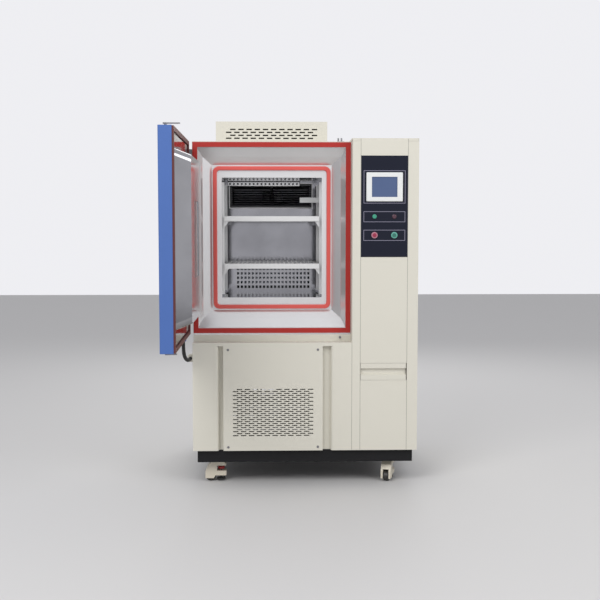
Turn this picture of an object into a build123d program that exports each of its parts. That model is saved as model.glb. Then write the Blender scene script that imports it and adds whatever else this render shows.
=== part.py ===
from build123d import *
import math
import os

os.makedirs("parts", exist_ok=True)

# Environmental test chamber, in millimetres, +Z up.
# The door stands open at a right angle. The origin is on the floor, in the middle of the
# box that holds the cabinet and the open door.

# Overall sizes
cabinet_width = 1110.0
cabinet_depth = 930.0
chamber_width = 783.0      # section of the cabinet that the door covers
body_bottom = 174.0
door_bottom = 753.0
roof_over_door = 3.0
column_over_roof = 11.0
sheet = 2.0
seat_gap = 0.3             # between a piece and another body
fit_gap = 0.05             # radial clearance of a pin in its bore

# Door
door_height = 944.0
door_shell_thickness = 58.0
door_seal_thickness = 8.7
door_seal_width = 20.0
plug_reach = 71.0          # from the shell's inner face to the plug's face
hinge_offset_x = 22.0      # hinge pin outside the cabinet's left face
hinge_y_depth = 50.0       # hinge pin behind the front plane
window_width = 260.0
window_height = 340.0

# Workspace and throat
work_width = 500.0
work_height = 600.0
work_depth = 500.0
work_floor = 926.0
duct_depth = 130.0         # behind the workspace
face_depth = 70.0          # chamber face behind the front plane
throat_knee_depth = 105.0
flange_depth = 138.0       # face that carries the inner seal
outer_seal_width = 24.0
outer_seal_thickness = 7.7
inner_seal_width = 20.0

# Places from the two overall boxes
seal_line = face_depth - hinge_y_depth - outer_seal_thickness - seat_gap
door_outer = hinge_offset_x - seal_line + door_seal_thickness + door_shell_thickness
left = (door_outer - cabinet_width) / 2
door_free_reach = chamber_width - hinge_y_depth + hinge_offset_x
front = (door_free_reach - cabinet_depth) / 2
right = left + cabinet_width
rear = front + cabinet_depth
column_left = left + chamber_width
middle_x = left + chamber_width / 2
face_y = front + face_depth
flange_y = front + flange_depth
work_rear = flange_y + work_depth
liner_rear = work_rear + duct_depth
work_left = middle_x - work_width / 2
work_right = middle_x + work_width / 2
work_top = work_floor + work_height
door_top = door_bottom + door_height
roof_top = door_top + roof_over_door
column_top = roof_top + column_over_roof
door_mid_z = (door_bottom + door_top) / 2
work_mid_z = (work_floor + work_top) / 2
hinge_x = left - hinge_offset_x
hinge_y = front + hinge_y_depth
door_inner_x = hinge_x + seal_line
shell_inner_x = door_inner_x - door_seal_thickness
shell_outer_x = shell_inner_x - door_shell_thickness
door_hinge_end = hinge_y - hinge_offset_x
door_free_end = door_hinge_end - chamber_width


def block(x, y, z, mode=Mode.ADD):
    """A rectangular block from its low and high x, y and z."""
    with Locations(((x[0] + x[1]) / 2, (y[0] + y[1]) / 2, (z[0] + z[1]) / 2)):
        Box(x[1] - x[0], y[1] - y[0], z[1] - z[0], mode=mode)


def drum(centre, radius, length, turn=(0, 0, 0), mode=Mode.ADD):
    """A cylinder with its middle at a point; turn lays it along another axis."""
    with Locations(Location(centre, turn)):
        Cylinder(radius, length, mode=mode)


def upright(y):
    """Vertical plane at depth y, with x to the right and z up, its normal to the front."""
    return Plane(origin=(0, y, 0), x_dir=(1, 0, 0), z_dir=(0, -1, 0))


def save(piece, name):
    """Label a finished piece and write it."""
    piece.part.label = name
    export_step(piece.part, f"parts/{name}.step")


along_x = (0, 90, 0)
along_y = (90, 0, 0)

# Caster places and headings, and the bore of each caster plate
caster_inset_x = 116.0
caster_inset_y = 110.0
swivel_radius = 12.0
plate_bottom = 105.0
plate_size = 92.0
caster_places = {
    "front_left": (left + caster_inset_x, front + caster_inset_y, 180.0),
    "front_right": (right - caster_inset_x - 14, front + caster_inset_y, 252.0),
    "rear_left": (left + caster_inset_x, rear - caster_inset_y, 160.0),
    "rear_right": (right - caster_inset_x - 14, rear - caster_inset_y, 35.0),
}

# Base frame: a ring of rectangular tube with two cross members, a deck and the caster plates
plinth_inset_side = 20.0
plinth_inset_front = 25.0
plinth_bottom = 112.0
plinth_wall = 50.0
plinth_beam = 130.0
deck = 4.0
plinth_x = (left + plinth_inset_side, right - plinth_inset_side)
plinth_y = (front + plinth_inset_front, rear - plinth_inset_front)
plinth_mid = ((plinth_x[0] + plinth_x[1]) / 2, (plinth_y[0] + plinth_y[1]) / 2)
with BuildPart() as base_frame:
    with BuildSketch(Plane.XY.offset(plinth_bottom)):
        with Locations(plinth_mid):
            Rectangle(plinth_x[1] - plinth_x[0], plinth_y[1] - plinth_y[0])
            with GridLocations(350, 0, 3, 1):
                Rectangle(350 - plinth_wall, plinth_y[1] - plinth_y[0] - 2 * plinth_beam,
                          mode=Mode.SUBTRACT)
    extrude(amount=body_bottom - deck - plinth_bottom)
    block(plinth_x, plinth_y, (body_bottom - deck, body_bottom))
    for x, y, heading in caster_places.values():
        with BuildSketch(Plane(origin=(x, y, plate_bottom))):
            RectangleRounded(plate_size, plate_size, 8)
            Circle(swivel_radius + fit_gap, mode=Mode.SUBTRACT)
        extrude(amount=plinth_bottom - plate_bottom)
save(base_frame, "base_frame")

# Conduit from the door's underside to a small housing on the side of the cabinet
hose_radius = 9.0
gland_radius = 14.0
gland_length = 20.0
hose_top = (left - 35.0, front - 104.0, door_bottom - gland_length)
hose_route = [
    hose_top,
    (hose_top[0], hose_top[1], 686),
    (hose_top[0] + 4, hose_top[1] + 31, 649),
    (hose_top[0] + 13, hose_top[1] + 74, 630),
    (hose_top[0] + 20, hose_top[1] + 118, 628),
    (hose_top[0] + 20, hose_top[1] + 162, 628),
]
hose_end = hose_route[-1]

# Side panels: the left one steps back above the ledge, and carries the conduit's entry housing
ledge_top = 712.0
with BuildPart() as side_panels:
    with BuildSketch(Plane.YZ.offset(left)):
        with BuildLine():
            Polyline((front, body_bottom), (rear, body_bottom), (rear, roof_top),
                     (face_y, roof_top), (face_y, ledge_top), (front, ledge_top), close=True)
        make_face()
    extrude(amount=sheet)
    block((left - 30, left), (hose_end[1] + 8, hose_end[1] + 62), (hose_end[2] - 18, hose_end[2] + 18))
    fillet(side_panels.edges().filter_by(Axis.Y).group_by(Axis.X)[0], 8)
    drum((hose_end[0], hose_end[1] + 4, hose_end[2]), gland_radius - 1, 8, along_y)
    block((right - sheet, right), (front, rear), (body_bottom, column_top))
save(side_panels, "side_panels")

# Rear panel, with a block of vent slots behind the machine space
vent_size = (120.0, 8.0)
vent_middle_z = 420.0
with BuildPart() as rear_panel:
    with BuildSketch(upright(rear)):
        with Locations((0, (body_bottom + roof_top - 3) / 2)):
            with Locations(((left + right) / 2, 0)):
                Rectangle(cabinet_width - 2 * sheet, roof_top - 3 - body_bottom)
        with Locations((middle_x, vent_middle_z)):
            with GridLocations(150, 30, 3, 9):
                Rectangle(*vent_size, mode=Mode.SUBTRACT)
    extrude(amount=sheet)
save(rear_panel, "rear_panel")

# Roof: one folded sheet that steps up over the column, with the fan shaft's hole
fan_y = work_rear + duct_depth / 2 + 1
shaft_radius = 8.0
roof_sheet = 3.0
with BuildPart() as top_panel:
    block((left + sheet, column_left + roof_sheet), (face_y, rear), (roof_top - roof_sheet, roof_top))
    block((column_left, column_left + roof_sheet), (front, rear), (roof_top, column_top - roof_sheet))
    block((column_left, right - sheet), (front, rear), (column_top - roof_sheet, column_top))
    drum((middle_x, fan_y, roof_top), shaft_radius + 4, 20, mode=Mode.SUBTRACT)
save(top_panel, "top_panel")

# Lower front: two pillars with rounded inner edges, and the ledge under the door
ledge_bottom = 695.0
grille_left = left + 150.0
grille_right = left + 641.0
left_pillar = 127.0
right_pillar = 102.0
pillar_depth = 30.0
with BuildPart() as lower_front_frame:
    with BuildSketch(Plane.XY.offset(body_bottom)):
        with Locations((left + sheet + (left_pillar - sheet) / 2, front + pillar_depth / 2)):
            Rectangle(left_pillar - sheet, pillar_depth)
        with Locations((column_left - right_pillar / 2, front + pillar_depth / 2)):
            Rectangle(right_pillar, pillar_depth)
    extrude(amount=ledge_bottom - body_bottom)
    rounded = lower_front_frame.edges().filter_by(Axis.Z).group_by(Axis.Y)[0].sort_by(Axis.X)[1:3]
    fillet(rounded, 14)
    block((left + sheet, column_left), (front, face_y), (ledge_bottom, ledge_top))
    block((left + sheet, column_left), (face_y, face_y + sheet), (ledge_bottom, door_bottom - 8))
save(lower_front_frame, "lower_front_frame")

# Slotted panel in front of the condenser: rows of short slots, each row set half a pitch on
slot_pitch_x = 39.0
slot_pitch_z = 10.0
slot_length = 27.0
slot_height = 5.0
slot_rows = 24
slot_columns = 10
slot_left = left + 197.0
slot_bottom = 250.0
with BuildPart() as condenser_grille:
    with BuildSketch(upright(front + sheet)):
        with Locations(((grille_left + grille_right) / 2, (body_bottom + ledge_bottom) / 2)):
            Rectangle(grille_right - grille_left, ledge_bottom - body_bottom)
        for stagger in (0, 1):
            with Locations((slot_left + slot_length / 2 + stagger * slot_pitch_x / 2,
                            slot_bottom + stagger * slot_pitch_z)):
                with GridLocations(slot_pitch_x, 2 * slot_pitch_z, slot_columns, slot_rows // 2,
                                   align=(Align.MIN, Align.MIN)):
                    Rectangle(slot_length, slot_height, mode=Mode.SUBTRACT)
    extrude(amount=sheet)
    block((grille_left, grille_left + sheet), (front + sheet, front + 40), (body_bottom, ledge_bottom))
    block((grille_right - sheet, grille_right), (front + sheet, front + 40), (body_bottom, ledge_bottom))
    block((left + left_pillar, grille_left), (front + pillar_depth - sheet, front + pillar_depth),
          (body_bottom, ledge_bottom))
    block((grille_right, column_left - right_pillar), (front + pillar_depth - sheet, front + pillar_depth),
          (body_bottom, ledge_bottom))
save(condenser_grille, "condenser_grille")

# Right-hand column: two stiles with returns, carrying the panels and the drawer's runners
drawer_bottom = 525.0
drawer_top = 608.0
tray_rise = 10.0
runner_top = drawer_bottom + tray_rise - seat_gap
left_stile = 44.0
right_stile = 54.0
stile_depth = 40.0
bay_left = column_left + left_stile
bay_right = right - right_stile
bay_mid = (bay_left + bay_right) / 2
with BuildPart() as column_frame:
    with BuildSketch(Plane.XY.offset(body_bottom)):
        with BuildLine():
            Polyline((column_left, front), (bay_left - 1, front), (bay_left - 1, front + stile_depth),
                     (bay_left - 1 - sheet, front + stile_depth), (bay_left - 1 - sheet, front + sheet),
                     (column_left + sheet, front + sheet), (column_left + sheet, rear - sheet),
                     (column_left, rear - sheet), close=True)
        make_face()
        with BuildLine():
            Polyline((bay_right + 1, front), (right - sheet, front), (right - sheet, front + sheet),
                     (bay_right + 1 + sheet, front + sheet), (bay_right + 1 + sheet, front + stile_depth),
                     (bay_right + 1, front + stile_depth), close=True)
        make_face()
    extrude(amount=roof_top - roof_sheet - body_bottom)
    block((bay_left - 1, bay_right + 1), (front + stile_depth - sheet, front + stile_depth),
          (body_bottom, body_bottom + 30))
    block((bay_left - 1, bay_right + 1), (front + stile_depth - sheet, front + stile_depth),
          (roof_top - 60, roof_top - roof_sheet))
    for edge in ((bay_left - 1, bay_left + 30), (bay_right - 30, bay_right + 1)):
        block(edge, (front + 24, front + 115), (runner_top - 3, runner_top))
save(column_frame, "column_frame")

# Front panels of the column, above the control panel, under it, and under the drawer
fascia_bottom = 1133.0
fascia_top = 1627.0
panel_gap = 1.0
with BuildPart() as column_panels:
    for low, high in ((body_bottom, drawer_bottom - panel_gap), (drawer_top + panel_gap, fascia_bottom),
                      (fascia_top, column_top - roof_sheet)):
        block((bay_left, bay_right), (front, front + sheet), (low, high))
        block((bay_left - 1, bay_left + 1), (front + sheet, front + 20), (low, high))
        block((bay_right - 1, bay_right + 1), (front + sheet, front + 20), (low, high))
save(column_panels, "column_panels")

# Control panel, with cut-outs for the screen, the lamps and the push buttons
fascia_thickness = 4.0
screen_z = 1475.0
screen_width = 125.0
screen_height = 98.0
bezel_width = 178.0
bezel_height = 141.0
lamp_z = 1331.0
button_z = 1240.0
control_spacing = 97.0
control_xs = (bay_mid - control_spacing / 2, bay_mid + control_spacing / 2)
barrel_radius = 11.0
lamp_radius = 11.0
ring_radius = 15.5
with BuildPart() as control_fascia:
    with BuildSketch(upright(front + fascia_thickness - 1)):
        with Locations((bay_mid, (fascia_bottom + fascia_top) / 2)):
            Rectangle(bay_right - bay_left, fascia_top - fascia_bottom)
        with Locations((bay_mid, screen_z)):
            Rectangle(screen_width + 20, screen_height + 20, mode=Mode.SUBTRACT)
        with Locations((control_xs[0], button_z), (control_xs[1], button_z)):
            Circle(barrel_radius, mode=Mode.SUBTRACT)
        with Locations((control_xs[0], lamp_z), (control_xs[1], lamp_z)):
            Circle(lamp_radius - 2, mode=Mode.SUBTRACT)
    extrude(amount=fascia_thickness)
    for side in (bay_left, bay_right):
        block((side - 1, side + 1), (front + fascia_thickness - 1, front + 20), (fascia_bottom, fascia_top))
save(control_fascia, "control_fascia")

fascia_face = front - 1.0
with BuildPart() as touchscreen_bezel:
    with BuildSketch(upright(fascia_face)):
        with Locations((bay_mid, screen_z)):
            RectangleRounded(bezel_width, bezel_height, 4)
            Rectangle(screen_width, screen_height, mode=Mode.SUBTRACT)
    extrude(amount=7)
    chamfer(touchscreen_bezel.faces().sort_by(Axis.Y)[0].outer_wire().edges(), 2)
save(touchscreen_bezel, "touchscreen_bezel")

with BuildPart() as touchscreen_panel:
    block((bay_mid - screen_width / 2, bay_mid + screen_width / 2), (fascia_face - 3, fascia_face),
          (screen_z - screen_height / 2, screen_z + screen_height / 2))
    block((bay_mid - screen_width / 2 - 10, bay_mid + screen_width / 2 + 10),
          (fascia_face, front + 35), (screen_z - screen_height / 2 - 10, screen_z + screen_height / 2 + 10))
save(touchscreen_panel, "touchscreen_panel")

with BuildPart() as indicator_lamps:
    for x in control_xs:
        drum((x, fascia_face - 3, lamp_z), lamp_radius, 6, along_y)
        drum((x, fascia_face + 15, lamp_z), lamp_radius - 2, 30, along_y)
    fillet(indicator_lamps.edges().filter_by(GeomType.CIRCLE).group_by(Axis.Y)[0], 3)
save(indicator_lamps, "indicator_lamps")

cap_radius = 10.0
with BuildPart() as button_bezels:
    for x in control_xs:
        drum((x, fascia_face - 4, button_z), ring_radius, 8, along_y)
        drum((x, fascia_face - 4, button_z), cap_radius + seat_gap, 8, along_y, mode=Mode.SUBTRACT)
    chamfer(button_bezels.faces().group_by(Axis.Y)[0].edges().filter_by(
        lambda edge: edge.length > 2 * math.pi * (ring_radius - 1)), 2)
save(button_bezels, "button_bezels")

# Push buttons, each in its ring
for name, x in (("stop_button", control_xs[0]), ("start_button", control_xs[1])):
    with BuildPart() as button:
        drum((x, fascia_face + 4, button_z), cap_radius, 28, along_y)
        fillet(button.edges().filter_by(GeomType.CIRCLE).group_by(Axis.Y)[0], 2)
    save(button, name)

# Throat: a frame with two slopes that lead in to the flange of the inner seal
throat_bottom = door_bottom - 8
throat_top = roof_top - roof_sheet
throat_mid = (middle_x, door_mid_z)
mouth = (735.0, 890.0)
knee = (686.0, 801.0)
flange_hole = (600.0, 725.0)
throat_back = flange_y + 10
with BuildPart() as throat_frame:
    block((left + sheet, column_left), (face_y, throat_back), (throat_bottom, throat_top))
    for near, far, y_near, y_far in ((mouth, knee, face_y, front + throat_knee_depth),
                                     (knee, flange_hole, front + throat_knee_depth, flange_y)):
        with BuildSketch(upright(y_near)):
            with Locations((middle_x, work_mid_z)):
                Rectangle(*near)
        with BuildSketch(upright(y_far)):
            with Locations((middle_x, work_mid_z)):
                Rectangle(*far)
        loft(mode=Mode.SUBTRACT)
    block((work_left, work_right), (flange_y - 1, throat_back + 1), (work_floor, work_top),
          mode=Mode.SUBTRACT)
save(throat_frame, "throat_frame")

# Outer seal round the chamber face, and the inner seal with rounded corners
with BuildPart() as outer_seal:
    with BuildSketch(upright(face_y)):
        with Locations(throat_mid):
            Rectangle(chamber_width - 2 * sheet, door_height - 2)
            Rectangle(chamber_width - 2 * sheet - 2 * outer_seal_width,
                      door_height - 2 - 2 * outer_seal_width, mode=Mode.SUBTRACT)
    extrude(amount=outer_seal_thickness)
save(outer_seal, "outer_seal")

inner_seal_size = (588.0, 712.0)
inner_seal_radius = 30.0
plug_face_depth = hinge_y_depth + (shell_inner_x + plug_reach - hinge_x)
inner_seal_thickness = flange_depth - plug_face_depth - seat_gap
with BuildPart() as inner_seal:
    with BuildSketch(upright(flange_y)):
        with Locations((middle_x, work_mid_z)):
            RectangleRounded(*inner_seal_size, inner_seal_radius)
            RectangleRounded(inner_seal_size[0] - 2 * inner_seal_width,
                             inner_seal_size[1] - 2 * inner_seal_width,
                             inner_seal_radius - inner_seal_width + 5, mode=Mode.SUBTRACT)
    extrude(amount=inner_seal_thickness)
    fillet(inner_seal.faces().sort_by(Axis.Y)[0].edges(), 4)
save(inner_seal, "inner_seal")

# Inner liner of welded sheet, open at the front, and the insulation round it
with BuildPart() as inner_liner:
    block((work_left - sheet, work_right + sheet), (throat_back, liner_rear + sheet),
          (work_floor - sheet, work_top + sheet))
    block((work_left, work_right), (throat_back - 1, liner_rear), (work_floor, work_top),
          mode=Mode.SUBTRACT)
    drum((middle_x, fan_y, work_top), shaft_radius + 4, 20, mode=Mode.SUBTRACT)
save(inner_liner, "inner_liner")

insulation_rear = liner_rear + 80
with BuildPart() as insulation:
    block((left + sheet, column_left), (throat_back, insulation_rear), (ledge_top, roof_top - roof_sheet))
    block((work_left - sheet, work_right + sheet), (throat_back - 1, liner_rear + sheet),
          (work_floor - sheet, work_top + sheet), mode=Mode.SUBTRACT)
    drum((middle_x, fan_y, (work_top + roof_top) / 2), shaft_radius + 4, roof_top - work_top + 40,
         mode=Mode.SUBTRACT)
save(insulation, "insulation")

# Duct plate across the back of the workspace, open behind the louvre and the return grille
louvre_x = (left + 163.0, left + 610.0)
louvre_z = (1386.0, 1515.0)
return_x = (left + 187.0, left + 611.0)
return_z = (934.0, 1066.0)
with BuildPart() as duct_plate:
    block((work_left, work_right), (work_rear, work_rear + sheet), (work_floor, work_top))
    block((louvre_x[0] + 12, louvre_x[1] - 12), (work_rear - 1, work_rear + 3),
          (louvre_z[0] + 12, louvre_z[1] - 12), mode=Mode.SUBTRACT)
    block((return_x[0] + 8, return_x[1] - 8), (work_rear - 1, work_rear + 3),
          (return_z[0] + 8, return_z[1] - 8), mode=Mode.SUBTRACT)
save(duct_plate, "duct_plate")

# Air outlet louvre: a frame with slanted blades
blade_count = 9
blade_tilt = 35.0
louvre_depth = 22.0
with BuildPart() as air_outlet_louvre:
    block(louvre_x, (work_rear - louvre_depth, work_rear), louvre_z)
    block((louvre_x[0] + 8, louvre_x[1] - 8), (work_rear - louvre_depth - 1, work_rear + 1),
          (louvre_z[0] + 8, louvre_z[1] - 8), mode=Mode.SUBTRACT)
    blade_pitch = (louvre_z[1] - louvre_z[0] - 16) / blade_count
    for blade in range(blade_count):
        z = louvre_z[0] + 8 + blade_pitch * (blade + 0.5)
        with Locations(Location(((louvre_x[0] + louvre_x[1]) / 2, work_rear - louvre_depth / 2, z),
                                (blade_tilt, 0, 0))):
            Box(louvre_x[1] - louvre_x[0] - 14, 15, 1.5)
save(air_outlet_louvre, "air_outlet_louvre")

# Return air grille: a plate pierced with square holes
hole_columns = 20
hole_rows = 5
hole_pitch_x = 20.4
hole_pitch_z = 24.6
hole_size = (12.0, 15.0)
with BuildPart() as return_air_grille:
    with BuildSketch(upright(work_rear)):
        with Locations(((return_x[0] + return_x[1]) / 2, (return_z[0] + return_z[1]) / 2)):
            Rectangle(return_x[1] - return_x[0], return_z[1] - return_z[0])
            with GridLocations(hole_pitch_x, hole_pitch_z, hole_columns, hole_rows):
                Rectangle(*hole_size, mode=Mode.SUBTRACT)
    extrude(amount=sheet)
save(return_air_grille, "return_air_grille")

# Circulation fan in the duct, on a vertical shaft from the motor on the roof
fan_radius = 52.0
fan_height = 60.0
fan_z = 1445.0
fan_blades = 12
with BuildPart() as circulation_fan:
    drum((middle_x, fan_y, fan_z - fan_height / 2), fan_radius, 3)
    for blade in range(fan_blades):
        angle = blade * 360 / fan_blades
        reach = fan_radius - 9
        with Locations(Location((middle_x + reach * math.cos(math.radians(angle)),
                                 fan_y + reach * math.sin(math.radians(angle)), fan_z), (0, 0, angle + 35))):
            Box(18, 2, fan_height)
    with Locations(Location((middle_x, fan_y, fan_z + fan_height / 2))):
        Cylinder(fan_radius, 2)
        Cylinder(fan_radius - 18, 2, mode=Mode.SUBTRACT)
    shaft_top = roof_top + 22
    drum((middle_x, fan_y, (fan_z - fan_height / 2 + shaft_top) / 2), shaft_radius,
         shaft_top - fan_z + fan_height / 2)
save(circulation_fan, "circulation_fan")

with BuildPart() as circulation_motor:
    drum((middle_x, fan_y, roof_top + 52), 44, 84)
    with Locations((middle_x, fan_y, roof_top + 5)):
        Box(120, 90, 10)
    drum((middle_x, fan_y, roof_top + 11), shaft_radius + fit_gap, 24, mode=Mode.SUBTRACT)
    fillet(circulation_motor.faces().sort_by(Axis.Z)[-1].edges(), 8)
save(circulation_motor, "circulation_motor")

# Motor cover on the roof, a folded box with slots in its front
cover_width = 573.0
cover_height = 120.0
cover_front = front + 300.0
cover_depth = 480.0
cover_slot_columns = 11
cover_slot_rows = 4
cover_slot_pitch = 42.0
with BuildPart() as motor_cover:
    block((middle_x - cover_width / 2, middle_x + cover_width / 2), (cover_front, cover_front + cover_depth),
          (roof_top, roof_top + cover_height))
    block((middle_x - cover_width / 2 + sheet, middle_x + cover_width / 2 - sheet),
          (cover_front + sheet, cover_front + cover_depth - sheet),
          (roof_top - 1, roof_top + cover_height - sheet), mode=Mode.SUBTRACT)
    with BuildSketch(upright(cover_front + sheet + 1)):
        for stagger in (0, 1):
            with Locations((middle_x + (stagger - 0.5) * cover_slot_pitch / 2, roof_top + 50 + stagger * 15)):
                with GridLocations(cover_slot_pitch, 30, cover_slot_columns, cover_slot_rows // 2):
                    Rectangle(28, 7)
    extrude(amount=2 * sheet + 2, mode=Mode.SUBTRACT)
save(motor_cover, "motor_cover")

# Evaporator coil in the duct: two rows of tube through a pack of fins
with BuildPart() as evaporator_coil:
    fin_z = (1110.0, 1330.0)
    for fin in range(15):
        x = work_left + 40 + fin * 30
        block((x - 1, x + 1), (work_rear + 30, work_rear + 90), fin_z)
    for z in range(4):
        for y in (work_rear + 45, work_rear + 75):
            drum((middle_x, y, fin_z[0] + 25 + z * 56), 6, work_width, along_x)
save(evaporator_coil, "evaporator_coil")

# Wet-bulb water trough, a white open box on the right wall
trough_x = (work_right - 105.0, work_right)
trough_y = (front + 300.0, front + 350.0)
trough_z = (1406.0, 1432.0)
with BuildPart() as wet_bulb_trough:
    block(trough_x, trough_y, trough_z)
    block((trough_x[0] + 3, trough_x[1] - 3), (trough_y[0] + 3, trough_y[1] - 3),
          (trough_z[0] + 3, trough_z[1] + 1), mode=Mode.SUBTRACT)
save(wet_bulb_trough, "wet_bulb_trough")

# Shelf uprights: slotted channels on both side walls, two on each side
upright_width = 24.0
upright_proud = 10.0
upright_ys = (throat_back + 60, work_rear - 90)
upright_z = (work_floor + 12, work_top - 20)
upright_slots = 14
with BuildPart() as shelf_uprights:
    for wall, way in ((work_left, 1), (work_right, -1)):
        for y in upright_ys:
            inner = sorted((wall, wall + way * upright_proud))
            web = sorted((wall - way, wall + way * (upright_proud - 2)))
            block(inner, (y, y + upright_width), upright_z)
            block(web, (y + 2, y + upright_width - 2), upright_z, mode=Mode.SUBTRACT)
            with BuildSketch(Plane.YZ.offset(inner[0] - 1)):
                with Locations((y + upright_width / 2, (upright_z[0] + upright_z[1]) / 2)):
                    with GridLocations(0, 40, 1, upright_slots):
                        Rectangle(6, 14)
            extrude(amount=upright_proud + 2, mode=Mode.SUBTRACT)
# Shelf rails on hooks, one under each end of each shelf
shelf_tops = {"upper_shelf": 1334.0, "lower_shelf": 1096.0}
lip_height = 25.0
rail_height = 20.0
rail_inner = 24.0
shelf_gap = 2.0
rail_y = (throat_back + 12, work_rear - 20)
with BuildPart() as shelf_supports:
    add(shelf_uprights.part)
    for top in shelf_tops.values():
        low = top - lip_height - seat_gap
        for wall, way in ((work_left, 1), (work_right, -1)):
            inner = wall + way * upright_proud
            block(sorted((inner, inner + way * 2)), rail_y, (low - rail_height, low))
            block(sorted((inner, inner + way * rail_inner)), rail_y, (low - 2, low))
            with BuildSketch(upright(rail_y[0] + 2)):
                with BuildLine():
                    Polyline((inner, low), (inner + way * rail_inner, low), (inner, low - 34), close=True)
                make_face()
            extrude(amount=2)
save(shelf_supports, "shelf_supports")

# Shelves: a folded frame with front-to-back slats
slat_count = 22
for name, top in shelf_tops.items():
    shelf_x = (work_left + upright_proud + shelf_gap, work_right - upright_proud - shelf_gap)
    shelf_y = (throat_back - 6, work_rear - 30)
    with BuildPart() as shelf:
        block(shelf_x, (shelf_y[0], shelf_y[0] + sheet), (top - lip_height, top))
        block(shelf_x, (shelf_y[1] - sheet, shelf_y[1]), (top - lip_height, top))
        for x in (shelf_x[0], shelf_x[1] - sheet):
            block((x, x + sheet), shelf_y, (top - lip_height, top))
        block(shelf_x, (shelf_y[0], shelf_y[0] + 22), (top - sheet, top))
        block(shelf_x, (shelf_y[1] - 22, shelf_y[1]), (top - sheet, top))
        slat_pitch = (shelf_x[1] - shelf_x[0]) / slat_count
        for slat in range(slat_count):
            x = shelf_x[0] + slat_pitch * (slat + 0.5)
            block((x - 6, x + 6), shelf_y, (top - sheet, top))
    save(shelf, name)

# Machine space: compressor, condenser with its fan, water tank and electrical plate
compressor_at = (middle_x + 140, front + 560.0)
shell_radius = 92.0
shell_height = 250.0
with BuildPart() as compressor:
    drum((*compressor_at, body_bottom + 14 + shell_height / 2), shell_radius, shell_height)
    fillet(compressor.faces().sort_by(Axis.Z)[-1].edges(), 50)
    with Locations((*compressor_at, body_bottom + 17)):
        Box(210, 120, 6)
    for dx in (-90, 90):
        for dy in (-45, 45):
            drum((compressor_at[0] + dx, compressor_at[1] + dy, body_bottom + 7), 14, 14)
save(compressor, "compressor")

condenser_x = (grille_left + 60, grille_right - 60)
condenser_y = (front + 60.0, front + 130.0)
condenser_z = (body_bottom, body_bottom + 350)
condenser_fan_at = ((condenser_x[0] + condenser_x[1]) / 2, (condenser_z[0] + condenser_z[1]) / 2)
condenser_fan_radius = 140.0
with BuildPart() as condenser_coil:
    for fin in range(19):
        x = condenser_x[0] + 3 + fin * (condenser_x[1] - condenser_x[0] - 6) / 18
        block((x - 1, x + 1), condenser_y, condenser_z)
    for row in range(6):
        for y in (condenser_y[0] + 20, condenser_y[1] - 20):
            drum((condenser_fan_at[0], y, condenser_z[0] + 35 + row * 56), 5,
                 condenser_x[1] - condenser_x[0], along_x)
save(condenser_coil, "condenser_coil")

with BuildPart() as condenser_shroud:
    shroud_y = (condenser_y[1], condenser_y[1] + 40)
    block(condenser_x, shroud_y, condenser_z)
    block((condenser_x[0] + 3, condenser_x[1] - 3), (shroud_y[0] - 1, shroud_y[1] - 3),
          (condenser_z[0] + 3, condenser_z[1] - 3), mode=Mode.SUBTRACT)
    drum((condenser_fan_at[0], shroud_y[1], condenser_fan_at[1]), condenser_fan_radius + 6, 20, along_y,
         mode=Mode.SUBTRACT)
    motor_y = (shroud_y[1] + 40, shroud_y[1] + 110)
    drum((condenser_fan_at[0], (motor_y[0] + motor_y[1]) / 2, condenser_fan_at[1]), 40, 70, along_y)
    drum((condenser_fan_at[0], motor_y[0], condenser_fan_at[1]), 6 + fit_gap, 60, along_y,
         mode=Mode.SUBTRACT)
    block((condenser_fan_at[0] - 160, condenser_fan_at[0] + 160), (motor_y[0] + 40, motor_y[0] + 44),
          (condenser_fan_at[1] + 38, condenser_fan_at[1] + 46))
    block((condenser_fan_at[0] - 160, condenser_fan_at[0] + 160), (motor_y[0] + 40, motor_y[0] + 44),
          (condenser_fan_at[1] - 46, condenser_fan_at[1] - 38))
    for x in (-160, 152):
        block((condenser_fan_at[0] + x, condenser_fan_at[0] + x + 8), (shroud_y[1] - 3, motor_y[0] + 44),
              (condenser_fan_at[1] - 46, condenser_fan_at[1] + 46))
save(condenser_shroud, "condenser_shroud")

with BuildPart() as condenser_fan:
    hub_y = shroud_y[1] + 14
    drum((condenser_fan_at[0], hub_y, condenser_fan_at[1]), 36, 24, along_y)
    drum((condenser_fan_at[0], hub_y + 24, condenser_fan_at[1]), 6, 50, along_y)
    for blade in range(5):
        with Locations(Location((condenser_fan_at[0], hub_y, condenser_fan_at[1]), (0, blade * 72, 0))):
            with Locations(Location(((condenser_fan_radius + 30) / 2, 0, 0), (28, 0, 0))):
                Box(condenser_fan_radius - 30, 2, 46)
save(condenser_fan, "condenser_fan")

with BuildPart() as water_tank:
    tank_x = (bay_left + 10, bay_right - 10)
    block(tank_x, (front + 120, front + 380), (body_bottom, body_bottom + 240))
    fillet(water_tank.edges().filter_by(Axis.Z), 12)
    drum((bay_mid, front + 160, body_bottom + 250), 25, 20)
save(water_tank, "water_tank")

with BuildPart() as electrical_plate:
    block((column_left + sheet, right - sheet), (front + 500, front + 502), (body_bottom, 1600))
    for row, sizes in enumerate(((70, 90), (70, 90), (45, 80), (45, 80), (95, 110))):
        for column in range(3):
            x = column_left + 40 + column * 85
            z = 700 + row * 165
            block((x, x + sizes[0]), (front + 450, front + 500), (z, z + sizes[1]))
save(electrical_plate, "electrical_plate")

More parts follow.
